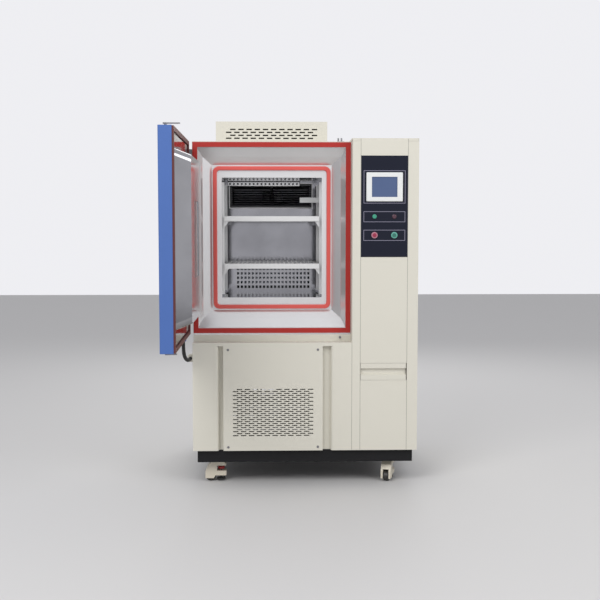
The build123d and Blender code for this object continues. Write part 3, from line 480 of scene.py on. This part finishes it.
class CHAMBER_OT_conduit(bpy.types.Operator):
    """Model the ribbed conduit between the door and the cabinet"""

    bl_idname = "chamber.conduit"
    bl_label = "Conduit"

    def execute(self, context):
        points = route_points(HOSE_ROUTE, CURVE_STEPS)
        length = sum((b - a).length for a, b in zip(points, points[1:]))
        pitch = context.scene.chamber_sizes.hose_ribs
        rings = int(length / pitch) * RIB_RINGS
        vertices, faces, sides = [], [], HOSE_SIDES
        for ring in range(rings + 1):
            centre, way = along(points, length * ring / rings)
            across = way.cross(Vector((1, 0, 0.2))).normalized()
            other = way.cross(across)
            radius = HOSE_RADIUS - (RIB_DEPTH if ring % RIB_RINGS >= RIB_RINGS / 2 else 0.0)
            for side in range(sides):
                turn = 2 * math.pi * side / sides
                vertices.append(centre + radius * (across * math.cos(turn) + other * math.sin(turn)))
        for ring in range(rings):
            for side in range(sides):
                a, b = ring * sides + side, ring * sides + (side + 1) % sides
                faces.append((a, b, b + sides, a + sides))
        faces.append(tuple(reversed(range(sides))))
        faces.append(tuple(range(rings * sides, (rings + 1) * sides)))
        mesh = bpy.data.meshes.new("conduit")
        mesh.from_pydata(vertices, [], faces)
        hose = bpy.data.objects.new("conduit", mesh)
        context.collection.objects.link(hose)
        bpy.ops.object.select_all(action="DESELECT")
        hose.select_set(True)
        context.view_layer.objects.active = hose
        bpy.ops.object.mode_set(mode="EDIT")
        bpy.ops.mesh.select_all(action="SELECT")
        bpy.ops.mesh.normals_make_consistent(inside=False)
        bpy.ops.object.mode_set(mode="OBJECT")
        bpy.ops.object.shade_smooth_by_angle(angle=math.radians(40))
        hose.data.materials.append(named_finish("hose"))
        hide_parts("door_conduit")
        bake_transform(hose)
        return {"FINISHED"}


class CHAMBER_OT_screws(bpy.types.Operator):
    """Model one cross-head screw and copy it to the grille panel's corners"""

    bl_idname = "chamber.screws"
    bl_label = "Screws"

    def execute(self, context):
        radius = context.scene.chamber_sizes.screw_radius
        low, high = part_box("condenser_grille")
        x, z = LEFT + SCREW_LEFT, high.z - SCREW_MARGIN
        across, down = SCREW_RIGHT - SCREW_LEFT, low.z + SCREW_MARGIN - z
        bpy.ops.object.select_all(action="DESELECT")
        bpy.ops.mesh.primitive_cylinder_add(vertices=24, radius=radius, depth=0.003,
                                            location=(x, FRONT - 0.0010, z),
                                            rotation=(math.radians(90), 0, 0))
        bevel = context.object.modifiers.new("round", "BEVEL")
        bevel.width = 0.0008
        bevel.segments = 2
        parts = [settle("head")]
        for wide, tall in ((SLOT_LENGTH, SLOT_WIDTH), (SLOT_WIDTH, SLOT_LENGTH)):
            parts.append(bar("slot", (x - wide / 2, FRONT - 0.0028, z - tall / 2),
                             (x + wide / 2, FRONT - 0.0023, z + tall / 2), 0.0001, 1))
        screws = copies(joined("grille_screw", parts), ((0, 0, down), (across, 0, 0), (across, 0, down)))
        dress(joined("grille_screws", screws), "hardware", "root")
        return {"FINISHED"}


def line_frame(name, low, high, width, y):
    """A thin printed frame of four strips, its corners closed."""
    (x0, z0), (x1, z1) = low, high
    flat = bar(name, (x0, y - PRINT_DEPTH, z0), (x1, y, z0 + width), 0.0002, 1)
    post = bar(name, (x0, y - PRINT_DEPTH, z0 + width), (x0 + width, y, z1 - width), 0.0002, 1)
    return copies(flat, [(0, 0, z1 - z0 - width)]) + copies(post, [(x1 - x0 - width, 0, 0)])


class CHAMBER_OT_panel_lines(bpy.types.Operator):
    """Print the line frames round the screen, the lamps and the buttons"""

    bl_idname = "chamber.panel_lines"
    bl_label = "Panel lines"

    def execute(self, context):
        width = context.scene.chamber_sizes.line_width
        strips = []
        for low, high in FRAME_HEIGHTS:
            strips += line_frame("line", (FASCIA_X - FRAME_HALF, low), (FASCIA_X + FRAME_HALF, high),
                                 width, FASCIA_FACE)
        dress(joined("panel_lines", strips), "line", "root")
        return {"FINISHED"}


class CHAMBER_OT_column_trim(bpy.types.Operator):
    """Close the column's upper corners and lay dark strips of painted shade at the seams beside its panels"""

    bl_idname = "chamber.column_trim"
    bl_label = "Column trim"

    def execute(self, context):
        low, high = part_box("column_panels")
        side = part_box("side_panels")
        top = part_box("top_panel")[1].z
        left, right = LEFT + CHAMBER_WIDTH, side[1].x - 0.002
        caps = [bar("cap", (start, FRONT + 0.0002, top - 0.0135), (end, FRONT + 0.0020, top - 0.0022),
                    0.0004, 1)
                for start, end in ((left + 0.0015, low.x - 0.0005), (high.x + 0.0005, right - 0.0005))]
        dress(joined("column_caps", caps), "cream", "root")
        # The seams are dark strips on the face: painted shade of the gaps beside the panels.
        first, half = left + 0.0020, 0.0009
        seam_shade = bar("seam_shade", (first - half, FRONT - 0.0003, side[0].z + 0.003),
                   (first + half, FRONT + 0.0003, top - 0.003), 0.0001, 1)
        seam_shades = copies(seam_shade, ((low.x - first, 0, 0), (high.x - first, 0, 0)))
        dress(joined("column_seam_shades", seam_shades), "seam_shade", "root")
        return {"FINISHED"}


class CHAMBER_OT_louvre_trim(bpy.types.Operator):
    """Frame the air outlet and hang the bright strip above it"""

    bl_idname = "chamber.louvre_trim"
    bl_label = "Louvre trim"

    def execute(self, context):
        low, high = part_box("air_outlet_louvre")
        rim, y = 0.005, low.y
        strips = line_frame("rim", (low.x - rim, low.z - rim), (high.x + rim, high.z + rim), rim, y + 0.002)
        dress(joined("louvre_rim", strips), "shelf", "root")
        strip = bar("strip_light", (LEFT + STRIP_LEFT, y - 0.040, high.z - 0.014),
                    (LEFT + STRIP_RIGHT, y - 0.010, high.z + 0.010), 0.003)
        dress(strip, "satin", "root")
        # The strip's holes are thin black discs on its face: painted shade in the holes.
        bpy.ops.object.select_all(action="DESELECT")
        bpy.ops.mesh.primitive_cylinder_add(
            vertices=16, radius=HOLE_RADIUS, depth=0.001, rotation=(math.radians(90), 0, 0),
            location=(LEFT + STRIP_LEFT + HOLE_MARGIN, y - 0.0402, high.z - 0.002))
        bevel = context.object.modifiers.new("round", "BEVEL")
        bevel.width = 0.0003
        hole_shades = copies(settle("hole_shade"), [(step * HOLE_PITCH, 0, 0) for step in range(1, HOLE_COUNT)])
        dress(joined("strip_hole_shades", hole_shades), "louvre", "root")
        return {"FINISHED"}


class CHAMBER_OT_stage(bpy.types.Operator):
    """Lay the floor, hang the backdrop, and set the lights and the camera"""

    bl_idname = "chamber.stage"
    bl_label = "Stage"

    def execute(self, context):
        bpy.ops.object.select_all(action="DESELECT")
        bpy.ops.mesh.primitive_plane_add(size=24, location=(0, 2, 0))
        floor = settle("floor")
        material, surface = shader("pale_floor")
        surface.inputs["Base Color"].default_value = (0.62, 0.61, 0.60, 1)
        surface.inputs["Roughness"].default_value = 0.7
        floor.data.materials.append(material)
        world = bpy.data.worlds.new("studio")
        context.scene.world = world
        world.use_nodes = True
        nodes, link = world.node_tree.nodes, world.node_tree.links.new
        plain = nodes["Background"]
        plain.inputs["Color"].default_value = (0.80, 0.81, 0.85, 1)
        plain.inputs["Strength"].default_value = 0.66
        seen = nodes.new("ShaderNodeBackground")
        seen.inputs["Color"].default_value = (0.86, 0.86, 0.89, 1)
        path = nodes.new("ShaderNodeLightPath")
        mix = nodes.new("ShaderNodeMixShader")
        source = path.outputs["Is Camera Ray"]
        for ray in ("Is Glossy Ray", "Is Transmission Ray"):
            either = nodes.new("ShaderNodeMath")
            either.operation = "MAXIMUM"
            link(source, either.inputs[0])
            link(path.outputs[ray], either.inputs[1])
            source = either.outputs[0]
        link(source, mix.inputs["Fac"])
        link(plain.outputs[0], mix.inputs[1])
        link(seen.outputs[0], mix.inputs[2])
        link(mix.outputs[0], nodes["World Output"].inputs["Surface"])
        for name, place, power in LAMPS:
            data = bpy.data.lights.new(name, "AREA")
            data.size = LAMP_SIZE
            data.energy = power
            lamp = bpy.data.objects.new(name, data)
            context.collection.objects.link(lamp)
            lamp.location = place
            lamp.rotation_euler = (LAMP_AIM - Vector(place)).to_track_quat("-Z", "Y").to_euler()
        data = bpy.data.cameras.new("camera")
        data.sensor_width = 36.0
        distance = context.scene.chamber_sizes.eye_distance
        data.lens = PIXELS_PER_METRE * distance / IMAGE_WIDTH * data.sensor_width
        camera = bpy.data.objects.new("camera", data)
        context.collection.objects.link(camera)
        camera.location = (LEFT + EYE_FROM_LEFT, FRONT - distance, EYE_HEIGHT)
        yaw, pitch = (math.atan(turn / (PIXELS_PER_METRE * distance)) for turn in (AIM_RIGHT, AIM_DOWN))
        aim = Vector((math.sin(yaw) * math.cos(pitch), math.cos(yaw) * math.cos(pitch), -math.sin(pitch)))
        camera.rotation_euler = aim.to_track_quat("-Z", "Y").to_euler()
        context.scene.camera = camera
        context.scene.view_settings.view_transform = "Standard"
        return {"FINISHED"}


class CHAMBER_PT_panel(bpy.types.Panel):
    """Lists the chamber's operators and sizes"""

    bl_idname = "CHAMBER_PT_panel"
    bl_label = "Test Chamber"
    bl_space_type = "VIEW_3D"
    bl_region_type = "UI"
    bl_category = "Chamber"

    def draw(self, context):
        for operator in OPERATORS:
            self.layout.operator(operator.bl_idname)
        for group in (context.scene.chamber_sizes, context.scene.chamber_colours):
            for name in group.__annotations__:
                self.layout.prop(group, name)


OPERATORS = (CHAMBER_OT_stage, CHAMBER_OT_finishes, CHAMBER_OT_conduit, CHAMBER_OT_screws,
             CHAMBER_OT_panel_lines, CHAMBER_OT_column_trim, CHAMBER_OT_louvre_trim)
CLASSES = (ChamberSizes, ChamberColours, *OPERATORS, CHAMBER_PT_panel)


def register():
    """Register the classes and the scene's properties."""
    for one in CLASSES:
        bpy.utils.register_class(one)
    bpy.types.Scene.chamber_sizes = bpy.props.PointerProperty(type=ChamberSizes)
    bpy.types.Scene.chamber_colours = bpy.props.PointerProperty(type=ChamberColours)


def unregister():
    """Take the properties and the classes away."""
    del bpy.types.Scene.chamber_colours
    del bpy.types.Scene.chamber_sizes
    for one in reversed(CLASSES):
        bpy.utils.unregister_class(one)


def main():
    """Build everything."""
    register()
    bpy.ops.chamber.stage()
    bpy.ops.chamber.finishes()
    bpy.ops.chamber.conduit()
    bpy.ops.chamber.screws()
    bpy.ops.chamber.panel_lines()
    bpy.ops.chamber.column_trim()
    bpy.ops.chamber.louvre_trim()


if __name__ == "__main__":
    main()
